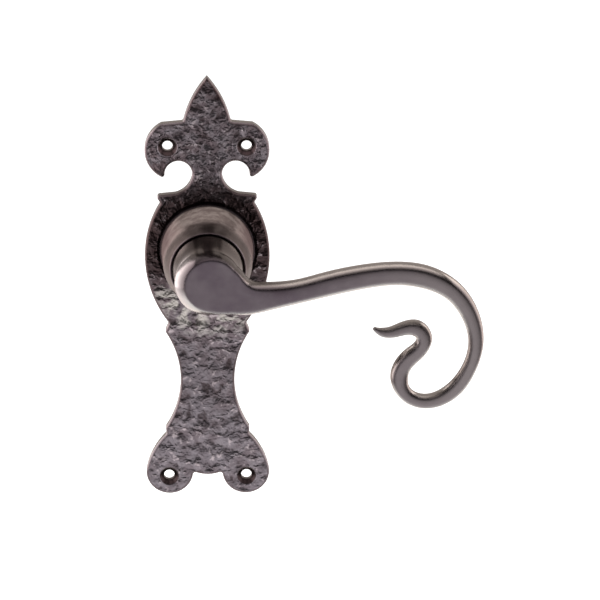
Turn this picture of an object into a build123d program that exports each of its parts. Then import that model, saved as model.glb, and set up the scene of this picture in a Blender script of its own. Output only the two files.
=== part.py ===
from build123d import *
from math import asin, atan2, cos, degrees, hypot, radians, sin
import os

# Cast-iron lever handle on a fleur-de-lis backplate, with a curled "monkey tail" lever.
# Millimetres. +Z is up, -Y faces the user, +X runs along the lever at rest.
# The origin is on the spindle's axis, in the plane of the door's face.
# A "height" is a distance off the door: height h lies at y = -h, inside the door it is negative.

DOOR_FACE = Plane.XZ

# ---- Backplate outline, right half: half-widths (x) and levels (z) from the spindle's axis ----
plate_thickness = 4.0
plate_bevel = 0.8
tip_z = 71.0
spear_half_width = 9.4
spear_foot_z = 52.8
spear_bulge = 1.3
hole_spacing_x = 31.2
upper_hole_z = 42.7
lower_hole_z = -96.0
lobe_top = (2.4, 9.3)          # the four points below are measured from the upper hole
lobe_bulge = 7.4
hook_tip = (0.9, -13.2)
notch_inner = (-9.7, -11.7)
notch_height = 6.5
stem_flare = (-3.1, -19.5)
stem_bulge = 1.6
shoulder_half_width = 20.4
shoulder_z = 22.4
collar_half_width = 18.5
collar_z = 19.3
barrel_half_width = 24.8
barrel_z = -4.0
barrel_bulge = 1.8
ankle_half_width = 15.4
ankle_z = -30.8
waist_half_width = 16.9
waist_top_z = -34.4
waist_foot_z = -75.4
waist_hollow = 6.1
foot_neck_half_width = 16.6
foot_neck_z = -78.0
foot_half_width = 24.8
foot_z = -93.4
foot_upper_bulge = 1.3
foot_lower_bulge = 9.8
foot_cleft = (5.9, -94.3)
foot_bridge_z = -95.6
foot_bridge_bulge = 0.33
corner_radius = 1.0
foot_side_radius = 2.0

# ---- Fixing holes, for 4 mm countersunk wood screws ----
hole_radius = 2.1
sink_radius = 3.75
sink_angle = 90

# ---- Boss, hollow behind ----
boss_height = 29.0
boss_base_radius = 18.2
boss_fillet = 1.2
boss_shoulder_radius = 17.6
boss_shoulder_height = 20.5
boss_rim_radius = 15.3
boss_rim_drop = 0.8
boss_rim_bevel = 0.4
recess_radius = 14.8
recess_depth = 18.0

# ---- Lever hub and shank ----
front_height = 49.6
front_radius = 10.6
front_shift = 1.3              # the flat front sits this far towards the blade
hub_radius = 13.2
hub_height = 45.2
neck_radius = 14.1
neck_gap = 0.35
neck_hollow = 0.5
hub_wall_bulge = 0.35
socket_depth = 1.6
shank_radius = 8.5
shank_end_height = 2.0
shank_flats = 14.4

# ---- Lever blade: its centre line and widths, from inside the hub to the tip of the tail ----
arm_stations = [(1.0, -0.3, 17.0), (5.3, -2.1, 21.8), (11.0, -4.6, 17.2), (16.4, -6.0, 13.6),
                (24.0, -5.4, 11.2), (34.0, -3.7, 9.6), (46.0, -0.7, 9.7), (60.0, 2.3, 9.6)]
crest = (73.0, 3.6)
crest_width = 9.3
curl_stations = [(12.0, -1.7, 9.2), (22.0, -7.1, 8.1), (29.0, -17.0, 7.1), (31.4, -28.0, 6.1),
                 (28.7, -39.2, 5.9), (22.4, -48.2, 6.4), (11.6, -52.5, 5.8), (3.8, -48.9, 5.8),
                 (1.6, -41.9, 7.2), (4.6, -35.4, 7.1), (9.4, -30.8, 6.5), (11.1, -26.2, 6.4),
                 (8.2, -22.3, 6.5), (2.8, -22.3, 5.4), (-2.0, -23.6, 4.5), (-5.6, -23.3, 3.5),
                 (-8.7, -21.3, 1.4)]
thin_depth = 3.2               # depth of the blade behind its flat front: this, plus a share of its width
depth_share = 0.6
round_share = 1.15             # where the blade is thin, its depth is this share of its width
front_cut = 0.8                # the flat front lies at this share of the section's half-depth
widest_rise = 4.2              # and at most this far in front of the section's widest level

# ---- Bush, washers, return cam and circlip ----
running_gap = 0.05
flat_gap = 0.1
bush_wall = 1.55
bush_bevel = 0.4
bush_flange_radius = 12.6
bush_flange_thickness = 1.2
neck_washer_thickness = 0.6
neck_washer_radius = 13.6
cam_thickness = 2.2
cam_radius = 12.3
cam_tab_radius = 14.3
cam_tab_spread = 10.0
cam_finger_spread = 5.0
cam_finger_height = 3.0
spring_washer_sheet = 0.6
spring_washer_cone = 0.45
spring_washer_radius = 11.4
circlip_thickness = 1.2
circlip_width = 2.6
circlip_middle = -90.0
circlip_gap_spread = 9.0
circlip_eye_spread = 20.0
circlip_eye_radius = 1.7
circlip_eye_hole = 0.75
groove_depth = 0.7

# ---- Lever travel, its stops, and the return spring between them ----
lever_travel = 48.0
stop_gap_angle = 1.3
stop_spread = 10.0
stop_thickness = 2.0
stop_root = 1.0
spring_wire = 1.6
spring_gap = 0.4
spring_pitch = 1.85
spring_turns = 3
spring_leg = 6.0

# ---- Spindle and grub screw ----
spindle_side = 7.8
spindle_gap = 0.15
spindle_end_gap = 1.0
spindle_grip = 38.0
spindle_reach = 62.0
spindle_chamfer = 0.9
grub_radius = 2.5
grub_length = 8.0
grub_height = 36.0
grub_bevel = 0.5
grub_key = 2.5
grub_key_depth = 2.4

# ---- Heights that follow from the sizes above ----
socket_floor = boss_height - socket_depth
neck_base = socket_floor + neck_washer_thickness + flat_gap
groove_radius = shank_radius - groove_depth
bush_bore = shank_radius + running_gap
bush_radius = bush_bore + bush_wall
bush_end = recess_depth - spring_turns * spring_pitch - spring_wire - 2 * spring_gap
cam_top = bush_end - flat_gap
cam_back = cam_top - cam_thickness
washer_back = cam_back - spring_washer_sheet - spring_washer_cone
circlip_back = washer_back - circlip_thickness
tab_angle = 90 + lever_travel / 2
finger_angle = tab_angle + cam_tab_spread - cam_finger_spread

# ---- The spring's coil and the angles of its two ends, each leg resting against its stop ----
coil_radius = bush_radius + spring_gap + spring_wire / 2
leg_sweep = degrees(atan2(spring_leg, coil_radius))
leg_clearance = degrees(asin((spring_wire / 2 + flat_gap) / hypot(coil_radius, spring_leg)))
fixed_end = tab_angle - lever_travel - cam_tab_spread - stop_gap_angle + leg_clearance + leg_sweep
moving_end = finger_angle - cam_finger_spread - leg_clearance - leg_sweep
coil_turns = spring_turns + (moving_end - fixed_end) / 360
coil_height = recess_depth - spring_gap - spring_wire / 2 - coil_turns * spring_pitch


def sector(inner, outer, middle, spread, mode=Mode.ADD):
    """Draw a ring segment about the spindle's axis, spread degrees to either side of its middle."""
    with BuildLine() as outline:
        inside = CenterArc((0, 0), inner, middle - spread, 2 * spread)
        outside = CenterArc((0, 0), outer, middle - spread, 2 * spread)
        Line(inside @ 0, outside @ 0)
        Line(inside @ 1, outside @ 1)
    make_face(outline.edges(), mode=mode)


def keyed_round(radius, flats):
    """Draw a circle with two level flats, the section of the shank's end."""
    Circle(radius)
    Rectangle(2 * radius, flats, mode=Mode.INTERSECT)


def from_hole(offset):
    """A point given from the upper right fixing hole."""
    return hole_spacing_x / 2 + offset[0], upper_hole_z + offset[1]


# ---- Backplate: one casting with its boss, stops and countersunk holes ----
with BuildPart() as backplate:
    with BuildSketch(DOOR_FACE):
        with BuildLine():
            SagittaArc((0, tip_z), (spear_half_width, spear_foot_z), spear_bulge)
            Line((spear_half_width, spear_foot_z), from_hole(lobe_top))
            SagittaArc(from_hole(lobe_top), from_hole(hook_tip), lobe_bulge)
            SagittaArc(from_hole(hook_tip), from_hole(notch_inner), -notch_height)
            SagittaArc(from_hole(notch_inner), from_hole(stem_flare), -stem_bulge)
            Polyline(from_hole(stem_flare), (shoulder_half_width, shoulder_z),
                     (collar_half_width, collar_z))
            barrel = SagittaArc((collar_half_width, collar_z), (barrel_half_width, barrel_z), barrel_bulge)
            TangentArc(barrel @ 1, (ankle_half_width, ankle_z), tangent=barrel % 1)
            Line((ankle_half_width, ankle_z), (waist_half_width, waist_top_z))
            SagittaArc((waist_half_width, waist_top_z), (waist_half_width, waist_foot_z), -waist_hollow)
            Line((waist_half_width, waist_foot_z), (foot_neck_half_width, foot_neck_z))
            SagittaArc((foot_neck_half_width, foot_neck_z), (foot_half_width, foot_z), foot_upper_bulge)
            SagittaArc((foot_half_width, foot_z), foot_cleft, foot_lower_bulge)
            SagittaArc(foot_cleft, (0, foot_bridge_z), foot_bridge_bulge)
            Line((0, foot_bridge_z), (0, tip_z))
        make_face()
        smooth_points = [(barrel_half_width, barrel_z), (foot_half_width, foot_z),
                         (0, tip_z), (0, foot_bridge_z)]
        smooth = [vertices().sort_by_distance(point)[0] for point in smooth_points]
        fillet([corner for corner in vertices() if corner not in smooth], radius=corner_radius)
        fillet(vertices().sort_by_distance((foot_half_width, foot_z))[0], radius=foot_side_radius)
    extrude(amount=plate_thickness)
    front_edges = faces().sort_by(Axis.Y)[0].edges()
    chamfer(front_edges.sort_by(Axis.X)[1:], length=plate_bevel)
    mirror(about=Plane.YZ)

    # The boss turns about the spindle's axis: cast fillet, slightly tapered wall, round shoulder, rim
    with BuildSketch(Plane.XY):
        with BuildLine():
            Line((0, 0), (boss_base_radius + boss_fillet, 0))
            Line((boss_base_radius + boss_fillet, 0), (boss_base_radius + boss_fillet, -plate_thickness))
            foot = RadiusArc((boss_base_radius + boss_fillet, -plate_thickness),
                             (boss_base_radius, -plate_thickness - boss_fillet), -boss_fillet)
            wall = Line(foot @ 1, (boss_shoulder_radius, -boss_shoulder_height))
            TangentArc(wall @ 1, (boss_rim_radius, -boss_height + boss_rim_drop), tangent=wall % 1)
            Polyline((boss_rim_radius, -boss_height + boss_rim_drop),
                     (boss_rim_radius - boss_rim_bevel, -boss_height), (0, -boss_height), (0, 0))
        make_face()
    revolve(axis=Axis.Y)

    # Recess for the mechanism behind, socket for the lever's neck in front, bore for the bush
    with BuildSketch(DOOR_FACE):
        Circle(recess_radius)
    extrude(amount=recess_depth, mode=Mode.SUBTRACT)
    with BuildSketch(DOOR_FACE.offset(boss_height)):
        Circle(neck_radius + neck_gap)
    extrude(amount=-socket_depth, mode=Mode.SUBTRACT)
    with BuildSketch(DOOR_FACE.offset(socket_floor)):
        Circle(bush_flange_radius + flat_gap)
    extrude(amount=-bush_flange_thickness, mode=Mode.SUBTRACT)
    with BuildSketch(DOOR_FACE.offset(socket_floor)):
        Circle(bush_radius)
    extrude(amount=-socket_floor, mode=Mode.SUBTRACT)

    # Two stops cast on the recess wall, one for each end of the lever's travel
    with BuildSketch(DOOR_FACE.offset(cam_back)):
        stop_offset = cam_tab_spread + stop_gap_angle + stop_spread
        for middle in (tab_angle + stop_offset, tab_angle - lever_travel - stop_offset):
            sector(recess_radius - stop_thickness, recess_radius + stop_root, middle, stop_spread)
    extrude(amount=recess_depth - cam_back)

    hole_centre_z = (upper_hole_z + lower_hole_z) / 2
    with Locations(Plane((0, -plate_thickness, hole_centre_z), x_dir=(1, 0, 0), z_dir=(0, -1, 0))):
        with GridLocations(hole_spacing_x, upper_hole_z - lower_hole_z, 2, 2):
            CounterSinkHole(radius=hole_radius, counter_sink_radius=sink_radius,
                            depth=plate_thickness, counter_sink_angle=sink_angle)


# ---- Lever: hub, curled blade and shank in one casting ----
def blade_section(centre, heading, width):
    """The blade's oval section, placed so that the flat front cuts off its foremost part."""
    depth = min(round_share * width, thin_depth + depth_share * width)
    half_depth = depth / (1 + front_cut)
    widest_height = front_height - min(front_cut * half_depth, widest_rise)
    plane = Plane((centre.X, -widest_height, centre.Z), x_dir=(0, -1, 0), z_dir=heading)
    with BuildSketch(plane) as section:
        Ellipse(half_depth, width / 2)
    return section.sketch


def hub_ring(height, radius, shift):
    """A round section of the hub's leaning wall, up to the flat front."""
    with BuildSketch(DOOR_FACE.offset(height)) as ring:
        with Locations((shift, 0)):
            Circle(radius)
    return ring.sketch


blade_stations = arm_stations + [(*crest, crest_width)]
blade_stations += [(crest[0] + x, crest[1] + z, width) for x, z, width in curl_stations]

with BuildPart() as lever:
    with BuildLine(DOOR_FACE) as centre_line:
        Spline(*[(x, z) for x, z, width in blade_stations])
    curve = centre_line.edges()[0]
    points = [Vector(x, 0, z) for x, z, width in blade_stations]
    loft([blade_section(point, curve.tangent_at(point), station[2])
          for point, station in zip(points, blade_stations)])

    with BuildSketch(Plane.XY):
        with BuildLine():
            neck_wall = SagittaArc((neck_radius, -neck_base), (hub_radius, -hub_height), -neck_hollow)
            Polyline(neck_wall @ 1, (0, -hub_height), (0, -neck_base), neck_wall @ 0)
        make_face()
    revolve(axis=Axis.Y)
    loft([hub_ring(hub_height, hub_radius, 0),
          hub_ring((hub_height + front_height) / 2, (hub_radius + front_radius) / 2 + hub_wall_bulge,
                   front_shift / 2),
          hub_ring(front_height, front_radius, front_shift)])
    split(bisect_by=DOOR_FACE.offset(front_height), keep=Keep.BOTTOM)

    with BuildSketch(DOOR_FACE.offset(neck_base)):
        Circle(shank_radius)
    extrude(amount=cam_top - neck_base)
    with BuildSketch(DOOR_FACE.offset(cam_top)):
        keyed_round(shank_radius, shank_flats)
    extrude(amount=shank_end_height - cam_top)

    # Groove for the circlip, square hole for the spindle, threaded hole for the grub screw
    with BuildSketch(DOOR_FACE.offset(circlip_back - running_gap)):
        Circle(shank_radius + groove_depth)
        Circle(groove_radius, mode=Mode.SUBTRACT)
    extrude(amount=circlip_thickness + 2 * running_gap, mode=Mode.SUBTRACT)
    with BuildSketch(DOOR_FACE):
        Rectangle(spindle_side + 2 * spindle_gap, spindle_side + 2 * spindle_gap)
    extrude(amount=spindle_grip + spindle_end_gap, mode=Mode.SUBTRACT)
    with BuildSketch(Plane.XY):
        with Locations((0, -grub_height)):
            Circle(grub_radius)
    extrude(amount=-neck_radius, mode=Mode.SUBTRACT)


# ---- Flanged bush pressed into the boss, and the washer under the lever's neck ----
with BuildPart() as neck_bush:
    with BuildSketch(DOOR_FACE.offset(bush_end)):
        Circle(bush_radius)
    extrude(amount=socket_floor - bush_end)
    with BuildSketch(DOOR_FACE.offset(socket_floor)):
        Circle(bush_flange_radius)
    extrude(amount=-bush_flange_thickness)
    with BuildSketch(DOOR_FACE.offset(bush_end)):
        Circle(bush_bore)
    extrude(amount=socket_floor - bush_end, mode=Mode.SUBTRACT)
    chamfer(edges().filter_by(GeomType.CIRCLE).sort_by(Axis.Y)[-1], length=bush_bevel)

with BuildPart() as neck_washer:
    with BuildSketch(DOOR_FACE.offset(socket_floor)):
        Circle(neck_washer_radius)
        Circle(bush_bore, mode=Mode.SUBTRACT)
    extrude(amount=neck_washer_thickness)


# ---- Return cam, keyed to the shank: its tab runs between the stops, its finger pushes the spring ----
with BuildPart() as return_cam:
    with BuildSketch(DOOR_FACE.offset(cam_back)):
        Circle(cam_radius)
        sector(bush_radius, cam_tab_radius, tab_angle, cam_tab_spread)
    extrude(amount=cam_thickness)
    with BuildSketch(DOOR_FACE.offset(cam_top)):
        sector(recess_radius - stop_thickness, cam_tab_radius, finger_angle, cam_finger_spread)
    extrude(amount=cam_finger_height)
    with BuildSketch(DOOR_FACE.offset(cam_back)):
        keyed_round(shank_radius + running_gap, shank_flats + 2 * running_gap)
    extrude(amount=cam_thickness, mode=Mode.SUBTRACT)


# ---- Torsion spring round the bush, one leg against a stop and one against the cam's finger ----
coil_plane = Plane((0, -coil_height, 0), z_dir=(0, -1, 0),
                   x_dir=(cos(radians(moving_end)), 0, sin(radians(moving_end))))

coil = coil_plane * Helix(spring_pitch, coil_turns * spring_pitch, coil_radius, lefthand=True)

with BuildPart() as return_spring:
    with BuildSketch(Plane(coil @ 0, x_dir=coil_plane.x_dir, z_dir=coil % 0)):
        Rectangle(spring_wire, spring_wire)
    sweep(path=coil, is_frenet=True)
    for coil_end in faces().filter_by(GeomType.PLANE):
        extrude(coil_end, amount=spring_leg)


# ---- Conical spring washer and circlip, which hold the shank in the bush ----
with BuildPart() as spring_washer:
    with BuildSketch(Plane.XY):
        with BuildLine():
            Polyline((bush_bore, -washer_back), (bush_bore, -washer_back - spring_washer_sheet),
                     (spring_washer_radius, -cam_back),
                     (spring_washer_radius, -cam_back + spring_washer_sheet), close=True)
        make_face()
    revolve(axis=Axis.Y)

with BuildPart() as circlip:
    with BuildSketch(DOOR_FACE.offset(circlip_back)):
        Circle(groove_radius + circlip_width)
        for eye_angle in (circlip_middle - circlip_eye_spread, circlip_middle + circlip_eye_spread):
            with PolarLocations(groove_radius + circlip_width, 1, start_angle=eye_angle):
                Circle(circlip_eye_radius)
                Circle(circlip_eye_hole, mode=Mode.SUBTRACT)
        Circle(groove_radius + running_gap, mode=Mode.SUBTRACT)
        sector(groove_radius, groove_radius + 2 * circlip_width, circlip_middle, circlip_gap_spread,
               mode=Mode.SUBTRACT)
    extrude(amount=circlip_thickness)


# ---- Spindle and the grub screw that grips it ----
with BuildPart() as spindle:
    with BuildSketch(DOOR_FACE.offset(spindle_grip)):
        Rectangle(spindle_side, spindle_side)
    extrude(amount=-spindle_grip - spindle_reach)
    ends = faces().filter_by(Axis.Y)
    chamfer(ends.edges(), length=spindle_chamfer)

with BuildPart() as grub_screw:
    with BuildSketch(Plane.XY.offset(-spindle_side / 2 - running_gap)):
        with Locations((0, -grub_height)):
            Circle(grub_radius)
    extrude(amount=-grub_length)
    chamfer(edges().filter_by(GeomType.CIRCLE), length=grub_bevel)
    with BuildSketch(Plane.XY.offset(-spindle_side / 2 - running_gap - grub_length)):
        with Locations((0, -grub_height)):
            RegularPolygon(radius=grub_key / 2, side_count=6, major_radius=False)
    extrude(amount=grub_key_depth, mode=Mode.SUBTRACT)


# ---- Names and files ----
nodes = {"backplate": backplate, "lever": lever, "neck_bush": neck_bush, "neck_washer": neck_washer,
         "return_cam": return_cam, "return_spring": return_spring, "spring_washer": spring_washer,
         "circlip": circlip, "spindle": spindle, "grub_screw": grub_screw}
os.makedirs("parts", exist_ok=True)
for name, node in nodes.items():
    node.part.label = name
    export_step(node.part, f"parts/{name}.step")
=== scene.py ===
# %% [markdown]
# # A cast-iron lever handle on a fleur-de-lis plate
# The solids of the handle come from its CAD model, in metres, with the spindle's axis at the
# origin: +X runs along the lever, -Y towards the user and +Z up.
# Blender adds what the CAD model leaves out: the skin of the iron, the finishes of the small parts, a
# coiled spring of square wire, a studio and a camera.

# %% Load the frame
from math import cos, pi, radians, sin

import bpy
import numpy as np
from mathutils import Matrix, Vector


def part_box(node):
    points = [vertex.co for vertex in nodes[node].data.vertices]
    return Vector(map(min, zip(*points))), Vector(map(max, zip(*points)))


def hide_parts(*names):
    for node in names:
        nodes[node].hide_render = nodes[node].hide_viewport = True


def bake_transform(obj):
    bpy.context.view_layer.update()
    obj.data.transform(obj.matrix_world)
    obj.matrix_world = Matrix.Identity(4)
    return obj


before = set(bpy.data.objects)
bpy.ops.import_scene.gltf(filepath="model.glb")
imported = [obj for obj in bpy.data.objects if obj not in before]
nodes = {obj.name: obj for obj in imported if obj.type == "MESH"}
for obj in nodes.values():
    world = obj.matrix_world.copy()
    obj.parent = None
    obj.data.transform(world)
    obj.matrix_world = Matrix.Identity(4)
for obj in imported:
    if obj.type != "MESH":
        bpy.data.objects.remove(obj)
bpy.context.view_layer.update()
print("CAD nodes:", ", ".join(sorted(nodes)))

mm = 0.001


# %% [markdown]
# ## A notation for shaders
# A finish is a small sum over positions: some noise, a mask, a share of one colour in another.
# Node by node such a sum is hard to read. `Value` therefore wraps a socket, so that ordinary
# arithmetic adds the Math nodes.

# %% Values that can be added and multiplied
class Value:
    """A number that a node gives. Arithmetic on it adds a Math node and returns that node's number."""

    def __init__(self, within, socket):
        self.within = within
        self.socket = socket

    def maths(self, operation, first, second=0.0):
        return self.within.value("ShaderNodeMath", {"operation": operation}, {0: first, 1: second})

    def __add__(self, other):
        return self.maths("ADD", self, other)

    def __sub__(self, other):
        return self.maths("SUBTRACT", self, other)

    def __rsub__(self, other):
        return self.maths("SUBTRACT", other, self)

    def __mul__(self, other):
        return self.maths("MULTIPLY", self, other)

    def __truediv__(self, other):
        return self.maths("DIVIDE", self, other)

    def __neg__(self):
        return 0 - self

    def __abs__(self):
        return self.maths("ABSOLUTE", self)

    __radd__ = __add__
    __rmul__ = __mul__

    def root(self):
        """The square root."""
        return self.maths("SQRT", self)

    def over(self, level):
        """How far the value is over a level, or 0 below it."""
        return self.maths("MAXIMUM", self - level, 0)

    def at_most(self, other):
        """The smaller of two values."""
        return self.maths("MINIMUM", self, other)

    def stepped(self, none, full):
        """Goes smoothly from 0 where the value is none to 1 where it is full, in either direction."""
        settings = {"interpolation_type": "SMOOTHSTEP"}
        return self.within.value("ShaderNodeMapRange", settings,
                                 {"Value": self, "From Min": none, "From Max": full})


print("a value knows:", ", ".join(name for name in vars(Value) if not name.startswith("_")))


# %% [markdown]
# `Nodes` is the node tree of a material or of the world. Its `add` makes any node from three
# things: the node's type, its settings, which are set first, and what goes into its sockets.

# %% A tree that takes any node
class Nodes:
    """The node tree of a material or a world, with an output to show a shader on."""

    def __init__(self, owner, output):
        owner.use_nodes = True
        self.tree = owner.node_tree
        self.tree.nodes.clear()
        self.output = self.add(output)
        self.coordinates = self.add("ShaderNodeTexCoord").outputs

    def add(self, kind, settings=None, sockets=None):
        node = self.tree.nodes.new(kind)
        for name, setting in (settings or {}).items():
            setattr(node, name, setting)
        for name, given in (sockets or {}).items():
            if isinstance(given, Value):
                given = given.socket
            if isinstance(given, bpy.types.NodeSocket):
                self.tree.links.new(given, node.inputs[name])
            else:
                node.inputs[name].default_value = given
        return node

    def value(self, kind, settings, sockets):
        """The first number that a new node gives."""
        return Value(self, self.add(kind, settings, sockets).outputs[0])

    def split(self, vector):
        """The three numbers of a vector."""
        axes = self.add("ShaderNodeSeparateXYZ", {}, {"Vector": vector}).outputs
        return [Value(self, axis) for axis in axes]

    def shown(self, shader):
        """Joins a shader to the output."""
        self.tree.links.new(shader.outputs[0], self.output.inputs["Surface"])


print("a tree knows:", ", ".join(name for name in vars(Nodes) if not name.startswith("_")))


# %% [markdown]
# `Finish` is the tree of a material. Its methods are what the finishes of this handle are made
# of: noise, blends and coats of colour, bumps, edges that look worn, and the metal itself.
# A Bevel node gives worn edges without touching the mesh, but its normal is in the directions
# of the room. For a piece that turns it is changed to the piece's own directions first, or else
# colours that follow it would slide over the piece.

# %% What a finish is made of
class Finish(Nodes):
    """A material. Its patterns are laid out on the piece's own coordinates, in metres."""

    def __init__(self, name):
        self.material = bpy.data.materials.new(name)
        super().__init__(self.material, "ShaderNodeOutputMaterial")
        self.place = self.coordinates["Object"]

    def noise(self, size, detail=2.0, roughness=0.5, distortion=0.0, place=None):
        """Soft noise from 0 to 1 whose lumps are about size across."""
        return self.value("ShaderNodeTexNoise", {}, {
            "Vector": place or self.place, "Scale": 1 / size, "Detail": detail,
            "Roughness": roughness, "Distortion": distortion})

    def blend(self, share, low, high):
        """A colour that goes from low to high as share goes from 0 to 1."""
        sockets = {"Factor": share, 6: low, 7: high}
        return self.add("ShaderNodeMix", {"data_type": "RGBA"}, sockets).outputs[2]

    def coats(self, base, *coats):
        """Lays coats of colour over a base, the first one lowest. Each is a share and a colour."""
        for share, coat in coats:
            base = self.blend(share, base, coat)
        return base

    def bump(self, height, depth, under=None):
        """A normal for a skin whose hills, from 0 to 1, are depth tall, on top of another normal."""
        sockets = {"Height": height, "Distance": depth}
        if under:
            sockets["Normal"] = under
        return self.add("ShaderNodeBump", {}, sockets).outputs["Normal"]

    def worn_edges(self, radius):
        """A normal that rounds every edge off, as if by this radius."""
        return self.add("ShaderNodeBevel", {"samples": 6}, {"Radius": radius}).outputs["Normal"]

    def turned_with_piece(self, normal):
        """A normal in the piece's own directions, which stay with it when it turns."""
        settings = {"vector_type": "NORMAL", "convert_from": "WORLD", "convert_to": "OBJECT"}
        return self.add("ShaderNodeVectorTransform", settings, {"Vector": normal}).outputs["Vector"]

    def metal(self, colour, roughness, normal=None, metallic=1.0, film=(1, 1, 1, 1)):
        """A metal, or a plastic if metallic is 0. The film tints what it reflects at its rims."""
        sockets = {"Base Color": colour, "Roughness": roughness, "Metallic": metallic,
                   "Specular Tint": film}
        if normal:
            sockets["Normal"] = normal
        self.shown(self.add("ShaderNodeBsdfPrincipled", {}, sockets))
        return self.material


print("a finish knows:", ", ".join(name for name in vars(Finish) if not name.startswith("_")))


# %% [markdown]
# Colours are easiest to name as a screen shows them, 0 to 255. Blender reckons with the amount
# of light instead, so they are turned into that first.

# %% Colours
def colour(red, green, blue):
    """The light of a screen colour: linear near black, and a power of 2.4 above that."""
    screen = np.array([red, green, blue]) / 255
    linear = np.where(screen <= 0.04045, screen / 12.92, ((screen + 0.055) / 1.055) ** 2.4)
    return (*linear.tolist(), 1.0)


# The same black is the wax in the hollows and also the painted shade on the plate.
black_wax_and_shade = colour(48, 37, 37)
wax_film = (1, 0.91, 0.87, 1)
print("black wax:", [round(part, 3) for part in black_wax_and_shade])


# %% [markdown]
# ## Cast iron for the plate
# The plate is one sand casting, with a turned boss in its middle and rough everywhere else.
# Two materials would need the mesh cut in two, and painted masks would need it unwrapped. One
# material with masks worked out from where a point is serves the whole casting instead.
# `across`, `height` and `up` say where a point is. `facing` says how squarely its skin faces
# the user, 1 on the flat and 0 on a wall. A pair of numbers such as `near_face` says where a
# mask is still 0 and where it is fully 1.

# %% Where a point of the plate is
plate_thickness = 4 * mm
boss_foot_radius = 18.2 * mm
outside_boss = (boss_foot_radius, boss_foot_radius + 2 * mm)
near_face = (plate_thickness + 2 * mm, plate_thickness + 0.4 * mm)
edge_radius = 1 * mm

rough = Finish("rough cast iron")
across, out, up = rough.split(rough.place)
height = -out
worn = rough.worn_edges(edge_radius)
facing = -rough.split(worn)[1]


def distance_to(x, z):
    """How far a point is from the line through (x, z), square to the door, or from its mirror image."""
    sideways = abs(across) - x
    upwards = up - z
    return (sideways * sideways + upwards * upwards).root()


from_axis = distance_to(0, 0)
on_plate = from_axis.stepped(*outside_boss) * height.stepped(*near_face)
on_boss = 1 - on_plate
print("the boss ends", boss_foot_radius, "m from the axis")


# %% [markdown]
# Four screw holes are countersunk. The plate is alike on both sides of its middle, so two
# places stand for all four. A countersink has no wrinkles, and neither has a wall.

# %% The countersinks, and where the skin is wrinkled
sink_radius = 3.7 * mm
sink_edge = 0.4 * mm
upper_holes = (15.6 * mm, 42.7 * mm)
lower_holes = (15.6 * mm, -96 * mm)
flat_facing = (0.75, 0.97)


def countersink(x, z):
    """1 inside a countersink and 0 outside it."""
    return distance_to(x, z).stepped(sink_radius + sink_edge, sink_radius - sink_edge)


sunk = countersink(*upper_holes) + countersink(*lower_holes)
wrinkled = on_plate * facing.stepped(*flat_facing) * (1 - sunk)
print("countersinks at", upper_holes, "and", lower_holes)


# %% [markdown]
# The boss is turned like a bell: behind a rounded shoulder its wall leans out further and
# further to the plate. The CAD model's boss has a rounder shoulder and only a small fillet at
# its foot, and its mesh has to stay as it is. A Bump node whose height depends on the distance
# off the door leans the normals as a bell's would. That moves the highlights only, and the
# outline stays the CAD model's.

# %% The bell of the boss
flare_top = 26 * mm
flare_bend = 9 * mm
flare_slope = 0.75
shoulder_start = 21.5 * mm
shoulder_curve = 45
bell_rim = (21 * mm, 19.5 * mm)


def bell_height():
    """The wall's lean as a height, which is 0 at the plate's face.

    Going down from the flare's top the slope grows evenly over the bend and then stays. Above
    the shoulder's start the height grows with the square of the distance.
    """
    below = (flare_top - height).over(0)
    bend = below.at_most(flare_bend)
    flare = (below - bend + bend * bend / (2 * flare_bend)) * flare_slope
    past = height.over(shoulder_start)
    at_plate = (flare_top - plate_thickness - flare_bend / 2) * flare_slope
    return flare + past * past * shoulder_curve - at_plate


turned = rough.bump(bell_height() * from_axis.stepped(*bell_rim), 1, worn)
print("the flare starts", round((flare_top - plate_thickness) / mm, 1), "mm off the plate")


# %% [markdown]
# The skin of the flat is a field of folds about three millimetres long, over broader lumps.
# Noise at these two sizes gives both. As the mesh stays as it is, the sum is a bump too. The noise also
# says where black wax lies, in the hollows, and where the crests are paler, broken up by finer grains:
# painted glints, which also stand for iron rubbed bare. The boss has only faint ripples.

# %% Wrinkles, hollows, and crests with painted glints
lumps = rough.noise(size=6 * mm, detail=0.0, distortion=0.2)
folds = rough.noise(size=3.2 * mm, detail=2.0, roughness=0.55, distortion=0.3)
grains = rough.noise(size=1.3 * mm, detail=1.0)
ripples = rough.noise(size=3.5 * mm, detail=3.0, roughness=0.6)
hollow_level = (0.45, 0.32)
crest_level = (0.55, 0.68)
lower_half_up = (-10 * mm, -50 * mm)
relief_depth = 3 * mm
ripple_height = 0.05
softer_below = 0.3


def mixed(first, second, share):
    """A share of the first and the rest of the second."""
    return first * share + second * (1 - share)


hollow = mixed(folds, lumps, share=0.75).stepped(*hollow_level) * wrinkled
# Painted glints on the crests, which also stand for iron rubbed bare.
glints_and_rubbed_crests = mixed(folds, grains, share=0.6).stepped(*crest_level) * wrinkled
lower_half = up.stepped(*lower_half_up)
wrinkles = mixed(folds, lumps, share=0.55) * wrinkled * (1 - lower_half * softer_below)
rough_normal = rough.bump(wrinkles + ripples * on_boss * ripple_height, relief_depth, turned)
print("the relief's full range is", relief_depth, "m")


# %% [markdown]
# Bare iron is a warm grey that varies in patches. It is paler in blotches, most of all just below the
# boss, and the boss's walls have their own greys. The paler lower half, the paler walls of the plate and
# the paler crests are painted light; the crests also stand for iron rubbed bare. Each difference is a coat
# of colour laid over the ones before it.

# %% The colours of the iron, with painted light
patch_level = (0.35, 0.65)
blotch_level = (0.42, 0.62)
near_boss_radius = (40 * mm, 29 * mm)
below_boss_up = (-12 * mm, -20 * mm)
plate_wall_facing = (0.6, 0.3)
boss_wall_facing = (0.8, 0.4)

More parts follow.
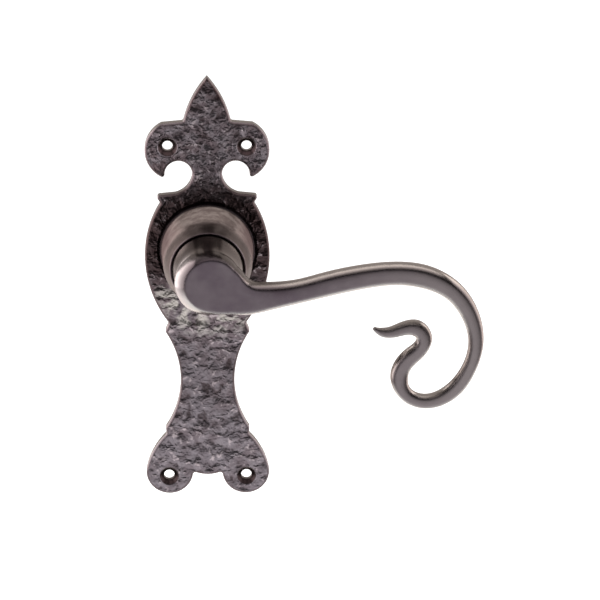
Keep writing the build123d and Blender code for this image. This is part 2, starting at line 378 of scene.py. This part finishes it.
patches = rough.noise(size=16 * mm, detail=2.0).stepped(*patch_level)
blotches = rough.noise(size=4 * mm, detail=1.0).stepped(*blotch_level) * wrinkled
below_boss = from_axis.stepped(*near_boss_radius) * up.stepped(*below_boss_up) * wrinkled
plate_wall = facing.stepped(*plate_wall_facing) * on_plate
boss_wall = facing.stepped(*boss_wall_facing) * on_boss
boss_iron = rough.blend(ripples.stepped(*patch_level), colour(76, 66, 63), colour(98, 88, 84))
# Painted light: the paler lower half, the paler walls of the plate and the glints on the crests. The
# patches and blotches are the iron's own tone.
coats = [(mixed(patches, lower_half, share=0.5), colour(105, 98, 103)),
         (blotches * 0.5, colour(126, 119, 124)),
         (below_boss * blotches * 0.8, colour(168, 162, 156)),
         (plate_wall, colour(106, 99, 94)),
         (glints_and_rubbed_crests * 0.7, colour(168, 156, 159)),
         (boss_wall, boss_iron)]
iron_and_painted_light = rough.coats(colour(91, 79, 82), *coats)
print("coats over the bare iron:", len(coats))


# %% [markdown]
# Black wax is rubbed over the whole casting and wiped off again. Most of it stays in the hollows and the
# countersinks. The dark line along the rim of the flat and the dark plate around the boss are painted
# shade, in the same black. Each of these leaves a share of the iron clear. The shares are multiplied, so
# that a point that is in two of them is never covered more than fully.

# %% Black wax in the hollows, and painted shade on the rim and around the boss
around_boss_radius = (33 * mm, 24 * mm)
around_boss_up = (-20 * mm, -8 * mm)
above_boss_up = (18 * mm, 27 * mm)
rim_facing = (0.98, 0.9)
rim_wall_facing = (0.55, 0.75)
hollow_wax = 0.6
around_boss_shade = 0.92
less_above_boss = 0.3
crest_glint_share = 0.6
rim_shade = 0.7
sink_wax = 0.9

# Painted shade on the plate around the boss, weaker above it, with painted glints on the crests showing
# through.
around_boss = from_axis.stepped(*around_boss_radius) * up.stepped(*around_boss_up) * on_plate
around_boss = around_boss * (around_boss_shade - up.stepped(*above_boss_up) * less_above_boss)
# Painted shade: a dark line along the rim of the flat, and at the foot of the boss.
rim = facing.stepped(*rim_facing) * facing.stepped(*rim_wall_facing) * on_plate
clear_of_wax_and_shade = (1 - hollow * hollow_wax) * (1 - rim * rim_shade) * (1 - sunk * sink_wax)
clear_of_wax_and_shade = clear_of_wax_and_shade * (1 - around_boss * (1 - glints_and_rubbed_crests * crest_glint_share))
print("nodes in the plate's finish so far:", len(rough.tree.nodes))


# %% [markdown]
# Painted shade darkens the sides of the boss, its upper shoulder and the spike at the top of the plate,
# and the plate is also darker at its waist. Last comes the gloss. The hollows are the dullest, and the
# boss is a little duller than the rest of the plate.

# %% Painted shade, and the plate's material
shoulder_height = (17 * mm, 25 * mm)
shoulder_up = (0, 14 * mm)
side_across = (8 * mm, 17 * mm)
side_facing = (0.9, 0.6)
spike_up = (50 * mm, 66 * mm)
waist_top = (-38 * mm, -46 * mm)
waist_foot = (-74 * mm, -60 * mm)
shoulder_shade = 0.3
side_shade = 0.9
spike_shade = 0.35
waist_darkening = 0.16
boss_roughness = 0.37
plate_glossier = 0.07
hollow_duller = 0.15

shoulder = height.stepped(*shoulder_height) * up.stepped(*shoulder_up) * on_boss
sides = (across * across).stepped(side_across[0] ** 2, side_across[1] ** 2) * on_boss
sides = sides * facing.stepped(*side_facing)
spike = up.stepped(*spike_up) * on_plate
waist = up.stepped(*waist_top) * up.stepped(*waist_foot) * on_plate
# Painted shade on the boss's sides and shoulder and on the spike; the waist is darker too.
extra_darkening = shoulder * shoulder_shade + sides * side_shade + spike * spike_shade + waist * waist_darkening
plate_colour_with_painted_light = rough.blend((1 - clear_of_wax_and_shade + extra_darkening).at_most(1), iron_and_painted_light, black_wax_and_shade)
plate_roughness = boss_roughness - on_plate * plate_glossier + hollow * hollow_duller
rough_iron = rough.metal(plate_colour_with_painted_light, plate_roughness, rough_normal, film=wax_film)
print("plate:", rough_iron.name)


# %% [markdown]
# ## Smooth iron for the lever
# The lever is the same iron, ground smooth and waxed. It turns, so the way it faces is read in
# its own directions: `edge_x`, `edge_y` and `edge_z` are a normal with rounded edges, and
# `frontal` is 1 on its flat front.

# %% Where a point of the lever is
lever_edge_radius = 1.8 * mm

smooth = Finish("smooth waxed iron")
along, lever_out, above = smooth.split(smooth.place)
off_door = -lever_out
edges = smooth.worn_edges(lever_edge_radius)
edge_x, edge_y, edge_z = smooth.split(smooth.turned_with_piece(edges))
frontal = -edge_y
print("the lever's edges look", lever_edge_radius, "m round")


# %% [markdown]
# Neck and hub together are one slim cone, as if turned before the flat front was ground. The
# CAD model's neck is straight and its hub leans, with a corner between them. A bump evens the
# two out: its height falls evenly along the cone and comes back in the last few millimetres
# before the front. It is strongest on the hub's upper side, where the corner would be seen.

# %% The cone of the hub
cone_start = 28 * mm
cone_length = 17 * mm
lever_front = 49.6 * mm
front_bend = 4.4 * mm
cone_depth = 2.3 * mm
hub_radius = (22 * mm, 13 * mm)
hub_above = (-2 * mm, 9 * mm)
hub_below_share = 0.2

rising = off_door.over(cone_start) / cone_length
falling = (lever_front - off_door).over(0) / front_bend
hub = (along * along + above * above).stepped(hub_radius[0] ** 2, hub_radius[1] ** 2)
hub = hub * (above.stepped(*hub_above) * (1 - hub_below_share) + hub_below_share)
conical = smooth.bump(1 - rising.at_most(falling) * hub, cone_depth, edges)
print("the cone is", cone_length, "m long")


# %% [markdown]
# The ground iron is plain: a cloudy grey that gets paler towards the curl, and a browner grey on the
# walls. The paler undersides, arm top and left side of the hub are painted light.

# %% The colours of the lever, with painted light
cloud_level = (0.3, 0.7)
curl_along = (25 * mm, 100 * mm)
wall_frontal = (0.8, 0.4)
underside_frontal = (1.0, 0.9)
underside_z = (-0.02, -0.4)
top_z = (0.5, 0.9)
arm_along = (20 * mm, 36 * mm)
left_x = (0.35, 0.8)
hub_left_along = (-4 * mm, -9 * mm)

clouds = smooth.noise(size=9 * mm, detail=3.0)
underside = frontal.stepped(*underside_frontal) * edge_z.stepped(*underside_z)
arm_top = edge_z.stepped(*top_z) * along.stepped(*arm_along)
hub_left = (-edge_x).stepped(*left_x) * along.stepped(*hub_left_along)
# Painted light: the paler undersides, arm top and left side of the hub.
coats = [(clouds.stepped(*cloud_level), colour(101, 92, 97)),
         (along.stepped(*curl_along), colour(120, 112, 113)),
         (frontal.stepped(*wall_frontal), colour(96, 87, 83)),
         (underside * 0.85, colour(158, 156, 153)),
         (arm_top * 0.7, colour(150, 140, 134)),
         (hub_left * 0.75, colour(150, 142, 142))]
ground_iron_and_painted_light = smooth.coats(colour(89, 79, 86), *coats)
print("coats over the ground iron:", len(coats))


# %% [markdown]
# Painted shade darkens three places: a thin line on the upper arris of the flat, a soft band along the
# arm's upper edge, and the upper side of the neck behind the hub, twice as much on its left. The band
# needs a mask that is wider than an edge, and a Bevel node with a radius of about half the arm's width
# gives one.

# %% Painted shade on the lever
lever_shade_colour = colour(36, 28, 28)
arris_frontal = (0.998, 0.95)
arris_wall_frontal = (0.5, 0.75)
arris_z = (-0.4, 0.0)
shade_radius = 6 * mm
shade_lean = (0.01, 0.28)
lean_to_right = 0.5
shade_frontal = (0.55, 0.8)
shade_along = (12 * mm, 30 * mm)
neck_off_door = (46 * mm, 38 * mm)
neck_above = (-2 * mm, 6 * mm)
neck_left_along = (2 * mm, -6 * mm)
arris_shade_share = 0.82
arm_shade_share = 0.72
neck_shade_share = 0.48

# Painted shade: a dark line on the flat's upper arris, a band along the arm's upper edge and the top of
# the neck.
arris = frontal.stepped(*arris_frontal) * frontal.stepped(*arris_wall_frontal)
arris = arris * edge_z.stepped(*arris_z)
broad = smooth.worn_edges(shade_radius)
broad_x, broad_y, broad_z = smooth.split(smooth.turned_with_piece(broad))
shade = (broad_z + broad_x * lean_to_right).stepped(*shade_lean)
shade = shade * (-broad_y).stepped(*shade_frontal)
shade = shade * along.stepped(*shade_along) * arm_shade_share
neck = off_door.stepped(*neck_off_door) * above.stepped(*neck_above)
neck = neck * (1 + along.stepped(*neck_left_along)) * neck_shade_share
lever_colour_with_painted_light = smooth.coats(
    ground_iron_and_painted_light,
    ((arris + shade).at_most(1) * arris_shade_share, lever_shade_colour),
    (neck, lever_shade_colour))
print("nodes in the lever's finish so far:", len(smooth.tree.nodes))


# %% [markdown]
# Ground iron is not quite flat. Slow waves and some fine pores, a tenth of a millimetre deep
# at most, keep its reflections from being perfect, and its gloss is cloudy too.

# %% The lever's material
pores = smooth.noise(size=0.7 * mm, detail=2.0)
waves = smooth.noise(size=5 * mm, detail=1.0)
lever_relief_depth = 0.1 * mm
lever_roughness = 0.16
cloud_roughness = 0.1

lever_relief = mixed(waves, pores, share=0.85)
lever_normal = smooth.bump(lever_relief, lever_relief_depth, conical)
cloudy_roughness = lever_roughness + clouds * cloud_roughness
smooth_iron = smooth.metal(lever_colour_with_painted_light, cloudy_roughness, lever_normal, film=wax_film)
print("lever:", smooth_iron.name)


# %% [markdown]
# ## The small parts
# Behind the boss sit a bronze bush, a plastic washer and plated or blackened steel parts. Turned
# metal shows fine rings about its axis and drawn metal shows lines along it; both come from
# noise that is stretched, so that one plain helper serves them all.

# %% Plain finishes
mark_size = 0.6 * mm
mark_depth = 0.02 * mm
mark_shade = 0.7
mark_roughness = 0.1
evenly = (1, 1, 1)
turned_rings = (1, 6, 1)
drawn_lines = (1, 0.06, 1)


def small_metal(name, tone, roughness, stretch=evenly):
    """A metal whose fine marks are long where stretch is small."""
    finish = Finish(name)
    place = finish.add("ShaderNodeMapping", {}, {"Vector": finish.place, "Scale": stretch})
    marks = finish.noise(mark_size, detail=2.0, place=place.outputs["Vector"])
    shade = tuple(mark_shade * channel for channel in tone[:3]) + (1.0,)
    return finish.metal(finish.blend(marks, shade, tone), roughness + marks * mark_roughness,
                        finish.bump(marks, mark_depth))


bronze = small_metal("turned bronze", colour(196, 158, 112), 0.28, turned_rings)
zinc = small_metal("zinc-plated steel", colour(186, 186, 190), 0.3)
spring_steel = small_metal("oiled spring steel", colour(120, 120, 125), 0.3)
black_oxide = small_metal("black oxide", colour(58, 56, 56), 0.35)
drawn_steel = small_metal("drawn steel bar", colour(112, 112, 115), 0.38, drawn_lines)

plastic = Finish("black acetal")
plastic_roughness = 0.42 + plastic.noise(size=1.2 * mm) * 0.08
acetal = plastic.metal(colour(34, 34, 35), plastic_roughness, metallic=0.0)
small_parts = (bronze, zinc, spring_steel, black_oxide, drawn_steel, acetal)
print("small parts:", [material.name for material in small_parts])


# %% [markdown]
# A CAD node keeps its mesh and its place. Only its material slot is filled.

# %% Dress the CAD nodes
finishes = {"backplate": rough_iron, "lever": smooth_iron, "neck_bush": bronze,
            "neck_washer": acetal, "return_cam": zinc, "spring_washer": spring_steel,
            "circlip": black_oxide, "spindle": drawn_steel, "grub_screw": black_oxide,
            "return_spring": spring_steel}
for name, material in finishes.items():
    nodes[name].data.materials.clear()
    nodes[name].data.materials.append(material)
print("dressed", len(finishes), "nodes")


# %% [markdown]
# ## The return spring
# The CAD spring is one rigid solid, but the real one winds up as the lever turns: one end stays
# at the plate and the other goes round with the cam. A curve with a depth would do for a round
# wire, but this one is square, so its section is carried along a path, straight leg, coil,
# straight leg, as one grid of points.

# %% The path of the wire
wire = 1.6 * mm
leg = 6 * mm
turns = 2.987
moving_angle = radians(82)

low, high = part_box("return_spring")
radius = -low.x - wire / 2
path_start = -high.y + wire / 2
path_end = -low.y - wire / 2


def spring_path(share):
    """Centre, tangent and outward direction of the wire at each share of its length.

    Along the coil the angle falls and the height off the door grows in step with the share.
    Before 0 and after 1 the wire leaves the coil along its tangent.
    """
    inside = np.clip(share, 0, 1)
    angle = moving_angle - 2 * pi * turns * inside
    off_plate = path_start + (path_end - path_start) * inside
    outward = np.stack([np.cos(angle), 0 * angle, np.sin(angle)], axis=-1)
    tangent = np.stack([np.sin(angle), 0 * angle, -np.cos(angle)], axis=-1)
    straight = (share - inside)[:, None] * leg
    centre = outward * radius + tangent * straight
    centre[:, 1] = -off_plate
    return centre, tangent, outward


print("coil radius", round(radius / mm, 2), "mm")


# %% [markdown]
# The four corners of the wire, at each step along the path, are the grid. Neighbouring rows
# make the walls, and the first and last rows make the end faces.

# %% The wire's mesh
def square_wire(name, steps, material):
    """A square section, turned so that one side faces outwards, at each step along the path."""
    share = np.concatenate([[-1], np.linspace(0, 1, steps), [2]])
    centre, tangent, outward = spring_path(share)
    level = np.cross(tangent, outward)
    corners = np.array([(-1, -1), (1, -1), (1, 1), (-1, 1)]) * wire / 2
    points = (centre[:, None] + corners[None, :, :1] * outward[:, None]
              + corners[None, :, 1:] * level[:, None])
    row, side = np.meshgrid(np.arange(len(share) - 1), np.arange(4), indexing="ij")
    beside = (side + 1) % 4
    walls = np.stack([row * 4 + side, row * 4 + beside, (row + 1) * 4 + beside,
                      (row + 1) * 4 + side], axis=-1).reshape(-1, 4)
    last = (len(share) - 1) * 4
    ends = np.array([[3, 2, 1, 0], [last, last + 1, last + 2, last + 3]])
    mesh = bpy.data.meshes.new(name)
    mesh.from_pydata(points.reshape(-1, 3).tolist(), [], np.concatenate([walls, ends]).tolist())
    mesh.materials.append(material)
    piece = bpy.data.objects.new(name, mesh)
    bpy.context.scene.collection.objects.link(piece)
    return piece


coil_steps = 150
spring = square_wire("return_spring_wire", coil_steps, spring_steel)
wire_corner = spring.modifiers.new("wire corners", "BEVEL")
wire_corner.width = 0.25 * mm
wire_corner.segments = 2
print("wire:", len(spring.data.polygons), "faces before its corners are rounded")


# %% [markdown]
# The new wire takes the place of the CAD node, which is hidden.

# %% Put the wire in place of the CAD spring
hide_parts("return_spring")
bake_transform(spring)
print("the spring winds from", round(path_end / mm, 1), "to", round(path_start / mm, 1), "mm off the door")


# %% [markdown]
# ## Studio
# The handle floats over a pale floor. To the camera, floor and surroundings are near white.
# More lamps would bleach the iron as well, so the floor has a glow that a Light Path node gives
# to the camera's rays, and half as strongly to mirrored ones. The floor keeps its shadow.

# %% The floor
floor_level = -0.3
floor_half = 6.0
floor_colour = (0.8, 0.8, 0.8, 1)
seen_glow = 0.6
mirrored_glow = 0.3

pale = Finish("pale floor")
matt = pale.add("ShaderNodeBsdfDiffuse", {}, {"Color": floor_colour})
rays = pale.add("ShaderNodeLightPath").outputs
seen = Value(pale, rays["Is Camera Ray"])
mirrored = Value(pale, rays["Is Glossy Ray"]) + Value(pale, rays["Is Transmission Ray"])
glow = pale.add("ShaderNodeEmission", {}, {"Color": seen * seen_glow + mirrored * mirrored_glow})
pale.shown(pale.add("ShaderNodeAddShader", {}, {0: matt.outputs[0], 1: glow.outputs[0]}))

corners = [(-floor_half, -floor_half, floor_level), (floor_half, -floor_half, floor_level),
           (floor_half, floor_half, floor_level), (-floor_half, floor_half, floor_level)]
floor_mesh = bpy.data.meshes.new("floor")
floor_mesh.from_pydata(corners, [], [(0, 1, 2, 3)])
floor_mesh.materials.append(pale.material)
floor = bpy.data.objects.new("floor", floor_mesh)
bpy.context.scene.collection.objects.link(floor)
print("floor at", floor_level, "m")


# %% [markdown]
# Black iron is seen mostly by what it reflects. White on every side would leave the flats as
# pale as the edges. So mirrored rays find it dark in front and overhead, and pale to the sides
# and behind. Matt surfaces get less light too, so that the pale floor stays below white.

# %% White surroundings with a dark front
surround = 0.8
front_dimmed = 0.72
matt_dimmed = 0.32
front_north = (0.55, 0.2)
side_east = (0.35, 0.7)

world = bpy.data.worlds.new("white studio")
bpy.context.scene.world = world
studio = Nodes(world, "ShaderNodeOutputWorld")
east, north = studio.split(studio.coordinates["Generated"])[:2]
dim = north.stepped(*front_north) * (1 - (east * east).stepped(*side_east))
rays = studio.add("ShaderNodeLightPath").outputs
seen = Value(studio, rays["Is Camera Ray"])
mirrored = Value(studio, rays["Is Glossy Ray"])
scattered = Value(studio, rays["Is Diffuse Ray"])
given = surround - front_dimmed * dim * mirrored - matt_dimmed * scattered
sky = studio.add("ShaderNodeBackground", {}, {"Color": seen + (1 - seen) * given})
studio.shown(sky)
print("surroundings at", surround, "of white")


# %% [markdown]
# Three soft panels light the handle. The top one draws the highlight along the arm and the
# boss, and one on each side brightens the left and right walls.

# %% Soft panels
middle = Vector((0.037, -0.02, -0.02))


def panel(name, azimuth, elevation, distance, width, height, brightness):
    """A soft panel that looks at the handle. Azimuth 0 is the front and 90 the right side.

    A brightness of 1 is as bright as a white background.
    """
    around, rise = radians(azimuth), radians(elevation)
    aim = Vector((sin(around) * cos(rise), -cos(around) * cos(rise), sin(rise)))
    lamp = bpy.data.lights.new(name, "AREA")
    lamp.shape = "RECTANGLE"
    lamp.size = width
    lamp.size_y = height
    lamp.energy = brightness * pi * width * height
    light = bpy.data.objects.new(name, lamp)
    light.matrix_world = (Matrix.Translation(middle + aim * distance)
                          @ aim.to_track_quat("Z", "Y").to_matrix().to_4x4())
    light.visible_camera = False
    bpy.context.scene.collection.objects.link(light)


panel("top panel", azimuth=0, elevation=88, distance=1.0, width=1.7, height=0.9, brightness=2.6)
panel("left panel", azimuth=-105, elevation=10, distance=0.7, width=0.8, height=0.8, brightness=5.0)
panel("right panel", azimuth=105, elevation=10, distance=0.7, width=0.8, height=0.8, brightness=3.4)
print("panels:", len(bpy.data.lights))


# %% [markdown]
# ## Camera
# The lens is long and far away, so the plate's sides stay parallel. The view comes from a little
# above, turned slightly, with a small roll.

# %% Place the camera
pitch = radians(18.7)
yaw = radians(1.8)
roll = radians(0.25)
distance = 1.756
target = Vector((0.03705, 0, -0.022555))
pixels_per_mm = 2.5
frame_pixels = 600

ahead = Vector((sin(yaw) * cos(pitch), cos(yaw) * cos(pitch), -sin(pitch)))
lens = bpy.data.cameras.new("camera")
lens.sensor_width = 36
lens.lens = pixels_per_mm * distance / mm * lens.sensor_width / frame_pixels
camera = bpy.data.objects.new("camera", lens)
camera.matrix_world = (Matrix.Translation(target - ahead * distance)
                       @ ahead.to_track_quat("-Z", "Y").to_matrix().to_4x4()
                       @ Matrix.Rotation(roll, 4, "Z"))
bpy.context.scene.collection.objects.link(camera)
bpy.context.scene.camera = camera
bpy.context.scene.view_settings.view_transform = "Standard"
print("lens", round(lens.lens, 1), "mm")


# %% [markdown]
